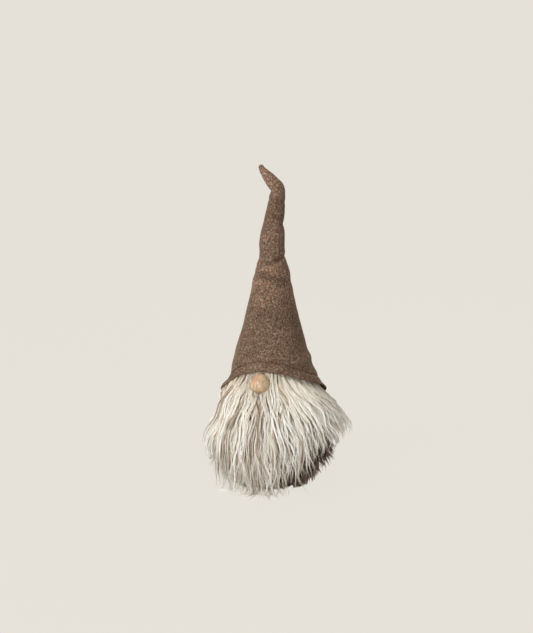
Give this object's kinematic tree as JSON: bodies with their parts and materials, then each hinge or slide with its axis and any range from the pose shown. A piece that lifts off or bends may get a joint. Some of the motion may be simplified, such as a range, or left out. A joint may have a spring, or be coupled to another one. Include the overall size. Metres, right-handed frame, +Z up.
{
  "type": "tomte gnome figurine",
  "caption": "Soft weighted gnome with a tall crooked felt hat bent on a wire core, a long shaggy beard, a turned wooden nose and a dark fur body on a flat felt base.",
  "frame": {"origin": "centre of the felt base's underside, on the surface the gnome stands on", "axes": "+Z up along the hat, -Y out of the face through the nose, +X to the gnome's own left"},
  "size_m": [0.2138, 0.1936, 0.4581],
  "materials": {
    "base_felt": "matt wool felt",
    "board": "plain greyboard",
    "cotton": "plain calico",
    "sand": "dry loose sand",
    "cord": "matt twisted cord",
    "backing_cloth": "knitted fur backing",
    "stuffing": "polyester fibrefill",
    "body_fur": "short dark brown pile",
    "beard_fur": "long wavy cream pile with tan roots",
    "nose_wood": "satin varnish with a faint blush",
    "plastic": "moulded",
    "hat_felt": "heathered brown wool felt",
    "wire": "annealed wire"
  },
  "bodies": {
    "body": {"base_felt": "base_felt", "base_board": "board", "ballast_bag": "cotton", "ballast_sand": "sand", "ballast_tie": "cord", "body_sack": "backing_cloth", "neck_drawcord": "cord", "body_stuffing": "stuffing", "body_fur_back": "body_fur", "body_fur_front": "body_fur", "beard_cloth": "backing_cloth", "beard_pile_side_right": "beard_fur", "beard_pile_front_right": "beard_fur", "beard_pile_centre": "beard_fur", "beard_pile_front_left": "beard_fur", "beard_pile_side_left": "beard_fur", "nose": "nose_wood", "nose_stem": "plastic", "nose_washer": "plastic", "hat_cone": "hat_felt", "hat_hem": "hat_felt", "hat_stuffing_cone": "stuffing", "hat_wire_foot": "wire", "hat_crease_lower": "hat_felt"},
    "lower_stem": {"hat_stem_lower": "hat_felt", "hat_stuffing_lower": "stuffing", "hat_wire_lower": "wire", "hat_crease_middle": "hat_felt"},
    "upper_stem": {"hat_stem_upper": "hat_felt", "hat_stuffing_upper": "stuffing", "hat_wire_upper": "wire", "hat_crease_upper": "hat_felt"},
    "tip": {"hat_tip": "hat_felt", "hat_stuffing_tip": "stuffing", "hat_wire_tip": "wire"}
  },
  "joints": [
    {"name": "hat_bend_lower", "type": "hinge", "parent": "body", "child": "lower_stem", "pos_m": [0, 0, 0.321], "axis": [0, 1, 0], "range_deg": [-30, 30], "deforming": ["hat_crease_lower"]},
    {"name": "hat_bend_middle", "type": "hinge", "parent": "lower_stem", "child": "upper_stem", "pos_m": [0.00224, 0, 0.374], "axis": [0, 1, 0], "range_deg": [-28, 28], "deforming": ["hat_crease_middle"]},
    {"name": "hat_bend_tip", "type": "hinge", "parent": "upper_stem", "child": "tip", "pos_m": [0.0075, 0, 0.425], "axis": [0, 1, 0], "range_deg": [-20, 58], "deforming": ["hat_crease_upper"]}
  ]
}
